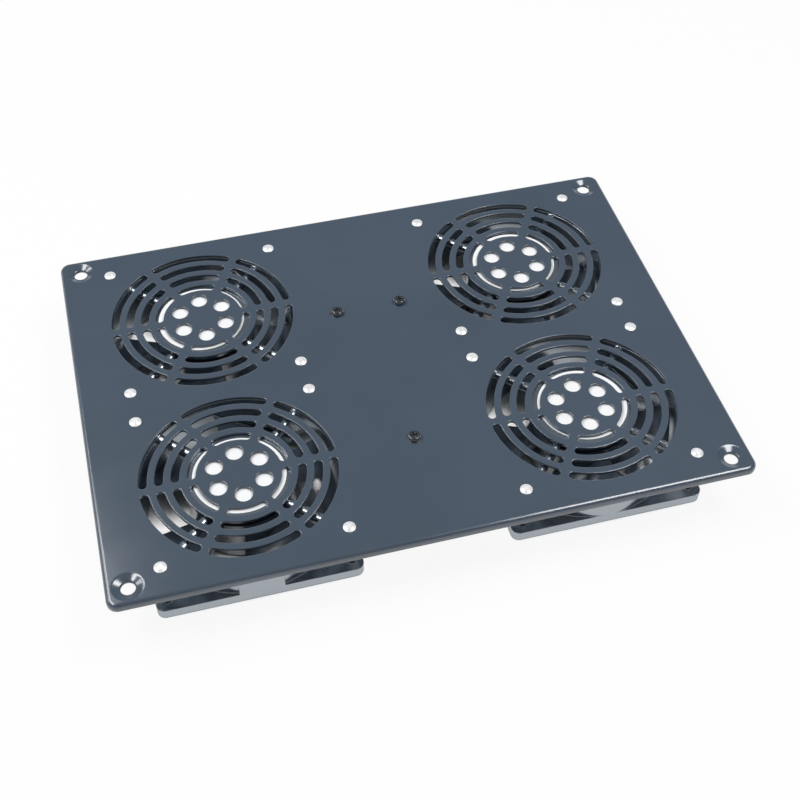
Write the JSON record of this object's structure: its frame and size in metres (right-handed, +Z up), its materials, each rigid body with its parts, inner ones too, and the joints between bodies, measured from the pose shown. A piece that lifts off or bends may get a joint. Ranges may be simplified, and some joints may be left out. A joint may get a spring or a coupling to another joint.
{
  "type": "rack roof fan panel",
  "caption": "Rectangular rack roof panel with a folded rim and punched round grilles, carrying axial fans riveted underneath to draw warm air out of a cabinet.",
  "frame": {"origin": "centre of the panel on the surface it stands on, at the undersides of the fans", "axes": "+X along the long side, +Y towards the back edge, +Z up through the grilles"},
  "size_m": [0.375, 0.271, 0.0421],
  "materials": {
    "powder_coat": "dark slate semi-gloss powder coat on sheet steel",
    "black_lacquer": "die casting under gloss black lacquer",
    "foil_label": "plain white foil",
    "core_steel": "laminated core and varnished windings",
    "bronze": "sintered bronze and plain brass",
    "rivet_aluminium": "bright plain",
    "black_plastic": "moulded, satin",
    "rotor_steel": "plated steel",
    "bright_steel": "zinc plated",
    "black_steel": "blackened steel",
    "white_plastic": "moulded"
  },
  "bodies": {
    "panel": {"roof_plate": "powder_coat", "terminal_block": "white_plastic", "terminal_clamps": "bronze", "terminal_screws": "bright_steel", "block_screws": "black_steel", "block_nuts": "bright_steel", "earth_screw": "black_steel", "earth_washer": "bright_steel", "earth_nut": "bright_steel", "fan_frame_front_left": "black_lacquer", "hub_label_front_left": "foil_label", "stator_front_left": "core_steel", "bearings_front_left": "bronze", "rivets_front_left": "rivet_aluminium", "fan_frame_front_right": "black_lacquer", "hub_label_front_right": "foil_label", "stator_front_right": "core_steel", "bearings_front_right": "bronze", "rivets_front_right": "rivet_aluminium", "fan_frame_back_left": "black_lacquer", "hub_label_back_left": "foil_label", "stator_back_left": "core_steel", "bearings_back_left": "bronze", "rivets_back_left": "rivet_aluminium", "fan_frame_back_right": "black_lacquer", "hub_label_back_right": "foil_label", "stator_back_right": "core_steel", "bearings_back_right": "bronze", "rivets_back_right": "rivet_aluminium"},
    "fan_rotor_front_left": {"impeller_front_left": "black_plastic", "rotor_front_left": "rotor_steel", "shaft_front_left": "bright_steel", "shaft_clip_front_left": "bright_steel"},
    "fan_rotor_front_right": {"impeller_front_right": "black_plastic", "rotor_front_right": "rotor_steel", "shaft_front_right": "bright_steel", "shaft_clip_front_right": "bright_steel"},
    "fan_rotor_back_left": {"impeller_back_left": "black_plastic", "rotor_back_left": "rotor_steel", "shaft_back_left": "bright_steel", "shaft_clip_back_left": "bright_steel"},
    "fan_rotor_back_right": {"impeller_back_right": "black_plastic", "rotor_back_right": "rotor_steel", "shaft_back_right": "bright_steel", "shaft_clip_back_right": "bright_steel"}
  },
  "joints": [
    {"name": "fan_spin_front_left", "type": "hinge", "parent": "panel", "child": "fan_rotor_front_left", "pos_m": [-0.104, -0.064, 0.019], "axis": [0, 0, 1], "continuous": true},
    {"name": "fan_spin_front_right", "type": "hinge", "parent": "panel", "child": "fan_rotor_front_right", "pos_m": [0.104, -0.064, 0.019], "axis": [0, 0, 1], "continuous": true},
    {"name": "fan_spin_back_left", "type": "hinge", "parent": "panel", "child": "fan_rotor_back_left", "pos_m": [-0.104, 0.064, 0.019], "axis": [0, 0, 1], "continuous": true},
    {"name": "fan_spin_back_right", "type": "hinge", "parent": "panel", "child": "fan_rotor_back_right", "pos_m": [0.104, 0.064, 0.019], "axis": [0, 0, 1], "continuous": true}
  ]
}
